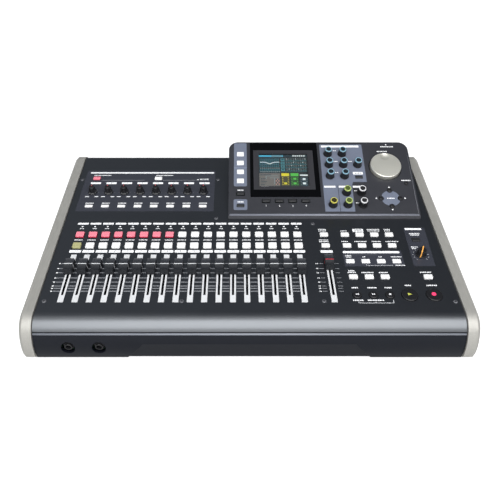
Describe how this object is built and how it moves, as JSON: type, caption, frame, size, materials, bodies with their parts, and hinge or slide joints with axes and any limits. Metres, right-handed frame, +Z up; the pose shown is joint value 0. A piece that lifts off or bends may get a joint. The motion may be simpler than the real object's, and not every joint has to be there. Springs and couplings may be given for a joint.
{
  "type": "digital multitrack recorder",
  "caption": "Desk-top multitrack recorder: sloping black case between end cheeks, rows of faders, keys and knobs, and a raised console with a screen, encoders and a jog wheel.",
  "frame": {"origin": "on the ground, under the middle of the case's width and depth", "axes": "+X to the user's right along the case, +Y to the rear, +Z up"},
  "size_m": [0.514, 0.34, 0.1102],
  "materials": {
    "panel_black": "satin",
    "front_black": "satin",
    "cheek_silver": "satin",
    "tray_steel": "satin",
    "console_grey": "satin",
    "window_black": "gloss",
    "module_grey": "matte",
    "board_green": "satin",
    "case_grey": "matte",
    "socket_black": "satin",
    "foot_rubber": "matte",
    "cap_grey": "satin",
    "knob_black": "satin",
    "wheel_champagne": "satin",
    "key_white": "satin",
    "button_black": "satin"
  },
  "bodies": {
    "chassis": {"top_panel": "panel_black", "front_panel": "front_black", "left_cheek": "cheek_silver", "right_cheek": "cheek_silver", "chassis_tray": "tray_steel", "console_housing": "console_grey", "display_window": "window_black", "lcd_module": "module_grey", "circuit_boards": "board_green", "potentiometers": "case_grey", "jack_sockets": "socket_black", "line_sockets": "socket_black", "feet": "foot_rubber"},
    "channel_fader_01": {"channel_fader_01": "cap_grey"},
    "channel_fader_02": {"channel_fader_02": "cap_grey"},
    "channel_fader_03": {"channel_fader_03": "cap_grey"},
    "channel_fader_04": {"channel_fader_04": "cap_grey"},
    "channel_fader_05": {"channel_fader_05": "cap_grey"},
    "channel_fader_06": {"channel_fader_06": "cap_grey"},
    "channel_fader_07": {"channel_fader_07": "cap_grey"},
    "channel_fader_08": {"channel_fader_08": "cap_grey"},
    "channel_fader_09": {"channel_fader_09": "cap_grey"},
    "channel_fader_10": {"channel_fader_10": "cap_grey"},
    "channel_fader_11": {"channel_fader_11": "cap_grey"},
    "channel_fader_12": {"channel_fader_12": "cap_grey"},
    "channel_fader_13": {"channel_fader_13": "cap_grey"},
    "channel_fader_14": {"channel_fader_14": "cap_grey"},
    "channel_fader_15": {"channel_fader_15": "cap_grey"},
    "channel_fader_16": {"channel_fader_16": "cap_grey"},
    "channel_fader_17": {"channel_fader_17": "cap_grey"},
    "channel_fader_18": {"channel_fader_18": "cap_grey"},
    "master_fader": {"master_fader": "cap_grey"},
    "trim_knob_1": {"trim_knob_1": "knob_black"},
    "trim_knob_2": {"trim_knob_2": "knob_black"},
    "trim_knob_3": {"trim_knob_3": "knob_black"},
    "trim_knob_4": {"trim_knob_4": "knob_black"},
    "trim_knob_5": {"trim_knob_5": "knob_black"},
    "trim_knob_6": {"trim_knob_6": "knob_black"},
    "trim_knob_7": {"trim_knob_7": "knob_black"},
    "trim_knob_8": {"trim_knob_8": "knob_black"},
    "encoder_high_gain": {"encoder_high_gain": "knob_black"},
    "encoder_high_tone": {"encoder_high_tone": "knob_black"},
    "encoder_mid_gain": {"encoder_mid_gain": "knob_black"},
    "encoder_mid_tone": {"encoder_mid_tone": "knob_black"},
    "encoder_mid_width": {"encoder_mid_width": "knob_black"},
    "encoder_low_gain": {"encoder_low_gain": "knob_black"},
    "encoder_low_tone": {"encoder_low_tone": "knob_black"},
    "encoder_pan": {"encoder_pan": "knob_black"},
    "encoder_effect": {"encoder_effect": "knob_black"},
    "encoder_level": {"encoder_level": "knob_black"},
    "encoder_send_one": {"encoder_send_one": "knob_black"},
    "encoder_send_two": {"encoder_send_two": "knob_black"},
    "phones_knob": {"phones_knob": "knob_black"},
    "jog_wheel": {"jog_wheel": "wheel_champagne"},
    "power_button": {"power_button": "button_black"},
    "rec_keys": {"rec_keys": "key_white"},
    "select_keys": {"select_keys": "key_white"},
    "panel_keys": {"panel_keys": "key_white"},
    "transport_keys": {"transport_keys": "key_white"},
    "console_keys": {"console_keys": "key_white"}
  },
  "joints": [
    {"name": "channel_fader_01_slide", "type": "slide", "parent": "chassis", "child": "channel_fader_01", "axis": [0, 0.9979, 0.0645], "range_m": [-0.037, 0.008]},
    {"name": "channel_fader_02_slide", "type": "slide", "parent": "chassis", "child": "channel_fader_02", "axis": [0, 0.9979, 0.0645], "range_m": [-0.037, 0.008]},
    {"name": "channel_fader_03_slide", "type": "slide", "parent": "chassis", "child": "channel_fader_03", "axis": [0, 0.9979, 0.0645], "range_m": [-0.037, 0.008]},
    {"name": "channel_fader_04_slide", "type": "slide", "parent": "chassis", "child": "channel_fader_04", "axis": [0, 0.9979, 0.0645], "range_m": [-0.037, 0.008]},
    {"name": "channel_fader_05_slide", "type": "slide", "parent": "chassis", "child": "channel_fader_05", "axis": [0, 0.9979, 0.0645], "range_m": [-0.037, 0.008]},
    {"name": "channel_fader_06_slide", "type": "slide", "parent": "chassis", "child": "channel_fader_06", "axis": [0, 0.9979, 0.0645], "range_m": [-0.037, 0.008]},
    {"name": "channel_fader_07_slide", "type": "slide", "parent": "chassis", "child": "channel_fader_07", "axis": [0, 0.9979, 0.0645], "range_m": [-0.037, 0.008]},
    {"name": "channel_fader_08_slide", "type": "slide", "parent": "chassis", "child": "channel_fader_08", "axis": [0, 0.9979, 0.0645], "range_m": [-0.037, 0.008]},
    {"name": "channel_fader_09_slide", "type": "slide", "parent": "chassis", "child": "channel_fader_09", "axis": [0, 0.9979, 0.0645], "range_m": [-0.037, 0.008]},
    {"name": "channel_fader_10_slide", "type": "slide", "parent": "chassis", "child": "channel_fader_10", "axis": [0, 0.9979, 0.0645], "range_m": [-0.037, 0.008]},
    {"name": "channel_fader_11_slide", "type": "slide", "parent": "chassis", "child": "channel_fader_11", "axis": [0, 0.9979, 0.0645], "range_m": [-0.037, 0.008]},
    {"name": "channel_fader_12_slide", "type": "slide", "parent": "chassis", "child": "channel_fader_12", "axis": [0, 0.9979, 0.0645], "range_m": [-0.037, 0.008]},
    {"name": "channel_fader_13_slide", "type": "slide", "parent": "chassis", "child": "channel_fader_13", "axis": [0, 0.9979, 0.0645], "range_m": [-0.037, 0.008]},
    {"name": "channel_fader_14_slide", "type": "slide", "parent": "chassis", "child": "channel_fader_14", "axis": [0, 0.9979, 0.0645], "range_m": [-0.037, 0.008]},
    {"name": "channel_fader_15_slide", "type": "slide", "parent": "chassis", "child": "channel_fader_15", "axis": [0, 0.9979, 0.0645], "range_m": [-0.037, 0.008]},
    {"name": "channel_fader_16_slide", "type": "slide", "parent": "chassis", "child": "channel_fader_16", "axis": [0, 0.9979, 0.0645], "range_m": [-0.037, 0.008]},
    {"name": "channel_fader_17_slide", "type": "slide", "parent": "chassis", "child": "channel_fader_17", "axis": [0, 0.9979, 0.0645], "range_m": [-0.037, 0.008]},
    {"name": "channel_fader_18_slide", "type": "slide", "parent": "chassis", "child": "channel_fader_18", "axis": [0, 0.9979, 0.0645], "range_m": [-0.037, 0.008]},
    {"name": "master_fader_slide", "type": "slide", "parent": "chassis", "child": "master_fader", "axis": [0, 0.9979, 0.0645], "range_m": [-0.0445, 0.0005]},
    {"name": "trim_knob_1_turn", "type": "hinge", "parent": "chassis", "child": "trim_knob_1", "pos_m": [-0.2166, 0.07258, 0.0633], "axis": [0, -0.0645, 0.9979], "range_deg": [-150, 150]},
    {"name": "trim_knob_2_turn", "type": "hinge", "parent": "chassis", "child": "trim_knob_2", "pos_m": [-0.1944, 0.07258, 0.0633], "axis": [0, -0.0645, 0.9979], "range_deg": [-150, 150]},
    {"name": "trim_knob_3_turn", "type": "hinge", "parent": "chassis", "child": "trim_knob_3", "pos_m": [-0.1722, 0.07258, 0.0633], "axis": [0, -0.0645, 0.9979], "range_deg": [-150, 150]},
    {"name": "trim_knob_4_turn", "type": "hinge", "parent": "chassis", "child": "trim_knob_4", "pos_m": [-0.15, 0.07258, 0.0633], "axis": [0, -0.0645, 0.9979], "range_deg": [-150, 150]},
    {"name": "trim_knob_5_turn", "type": "hinge", "parent": "chassis", "child": "trim_knob_5", "pos_m": [-0.1278, 0.07258, 0.0633], "axis": [0, -0.0645, 0.9979], "range_deg": [-150, 150]},
    {"name": "trim_knob_6_turn", "type": "hinge", "parent": "chassis", "child": "trim_knob_6", "pos_m": [-0.1056, 0.07258, 0.0633], "axis": [0, -0.0645, 0.9979], "range_deg": [-150, 150]},
    {"name": "trim_knob_7_turn", "type": "hinge", "parent": "chassis", "child": "trim_knob_7", "pos_m": [-0.0834, 0.07258, 0.0633], "axis": [0, -0.0645, 0.9979], "range_deg": [-150, 150]},
    {"name": "trim_knob_8_turn", "type": "hinge", "parent": "chassis", "child": "trim_knob_8", "pos_m": [-0.0612, 0.07258, 0.0633], "axis": [0, -0.0645, 0.9979], "range_deg": [-150, 150]},
    {"name": "encoder_high_gain_turn", "type": "hinge", "parent": "chassis", "child": "encoder_high_gain", "pos_m": [0.1149, 0.11882, 0.09753], "axis": [0, -0.3206, 0.9472], "continuous": true},
    {"name": "encoder_high_tone_turn", "type": "hinge", "parent": "chassis", "child": "encoder_high_tone", "pos_m": [0.135, 0.11882, 0.09753], "axis": [0, -0.3206, 0.9472], "continuous": true},
    {"name": "encoder_mid_gain_turn", "type": "hinge", "parent": "chassis", "child": "encoder_mid_gain", "pos_m": [0.1149, 0.10011, 0.09119], "axis": [0, -0.3206, 0.9472], "continuous": true},
    {"name": "encoder_mid_tone_turn", "type": "hinge", "parent": "chassis", "child": "encoder_mid_tone", "pos_m": [0.135, 0.10011, 0.09119], "axis": [0, -0.3206, 0.9472], "continuous": true},
    {"name": "encoder_mid_width_turn", "type": "hinge", "parent": "chassis", "child": "encoder_mid_width", "pos_m": [0.1551, 0.10011, 0.09119], "axis": [0, -0.3206, 0.9472], "continuous": true},
    {"name": "encoder_low_gain_turn", "type": "hinge", "parent": "chassis", "child": "encoder_low_gain", "pos_m": [0.1149, 0.08141, 0.08486], "axis": [0, -0.3206, 0.9472], "continuous": true},
    {"name": "encoder_low_tone_turn", "type": "hinge", "parent": "chassis", "child": "encoder_low_tone", "pos_m": [0.135, 0.08141, 0.08486], "axis": [0, -0.3206, 0.9472], "continuous": true},
    {"name": "encoder_pan_turn", "type": "hinge", "parent": "chassis", "child": "encoder_pan", "pos_m": [0.1149, 0.03556, 0.06935], "axis": [0, -0.3206, 0.9472], "continuous": true},
    {"name": "encoder_effect_turn", "type": "hinge", "parent": "chassis", "child": "encoder_effect", "pos_m": [0.135, 0.03556, 0.06935], "axis": [0, -0.3206, 0.9472], "continuous": true},
    {"name": "encoder_level_turn", "type": "hinge", "parent": "chassis", "child": "encoder_level", "pos_m": [0.135, 0.05427, 0.07568], "axis": [0, -0.3206, 0.9472], "continuous": true},
    {"name": "encoder_send_one_turn", "type": "hinge", "parent": "chassis", "child": "encoder_send_one", "pos_m": [0.1551, 0.05427, 0.07568], "axis": [0, -0.3206, 0.9472], "continuous": true},
    {"name": "encoder_send_two_turn", "type": "hinge", "parent": "chassis", "child": "encoder_send_two", "pos_m": [0.1551, 0.03556, 0.06935], "axis": [0, -0.3206, 0.9472], "continuous": true},
    {"name": "phones_knob_turn", "type": "hinge", "parent": "chassis", "child": "phones_knob", "pos_m": [0.2144, -0.05017, 0.05537], "axis": [0, -0.0645, 0.9979], "range_deg": [-150, 150]},
    {"name": "jog_wheel_turn", "type": "hinge", "parent": "chassis", "child": "jog_wheel", "pos_m": [0.1934, 0.09599, 0.0898], "axis": [0, -0.3206, 0.9472], "continuous": true},
    {"name": "power_button_press", "type": "slide", "parent": "chassis", "child": "power_button", "axis": [0, -1, 0], "range_m": [0, 0.0025], "stiffness_N_per_m": 400, "springref_m": -0.002},
    {"name": "rec_keys_press", "type": "slide", "parent": "chassis", "child": "rec_keys", "axis": [0, 0.0645, -0.9979], "range_m": [0, 0.0005], "stiffness_N_per_m": 600, "springref_m": -0.002},
    {"name": "select_keys_press", "type": "slide", "parent": "chassis", "child": "select_keys", "axis": [0, 0.0645, -0.9979], "range_m": [0, 0.0005], "stiffness_N_per_m": 600, "springref_m": -0.002},
    {"name": "panel_keys_press", "type": "slide", "parent": "chassis", "child": "panel_keys", "axis": [0, 0.0645, -0.9979], "range_m": [0, 0.0005], "stiffness_N_per_m": 600, "springref_m": -0.002},
    {"name": "transport_keys_press", "type": "slide", "parent": "chassis", "child": "transport_keys", "axis": [0, 0.0645, -0.9979], "range_m": [0, 0.0005], "stiffness_N_per_m": 600, "springref_m": -0.002},
    {"name": "console_keys_press", "type": "slide", "parent": "chassis", "child": "console_keys", "axis": [0, 0.3206, -0.9472], "range_m": [0, 0.0005], "stiffness_N_per_m": 600, "springref_m": -0.002}
  ]
}
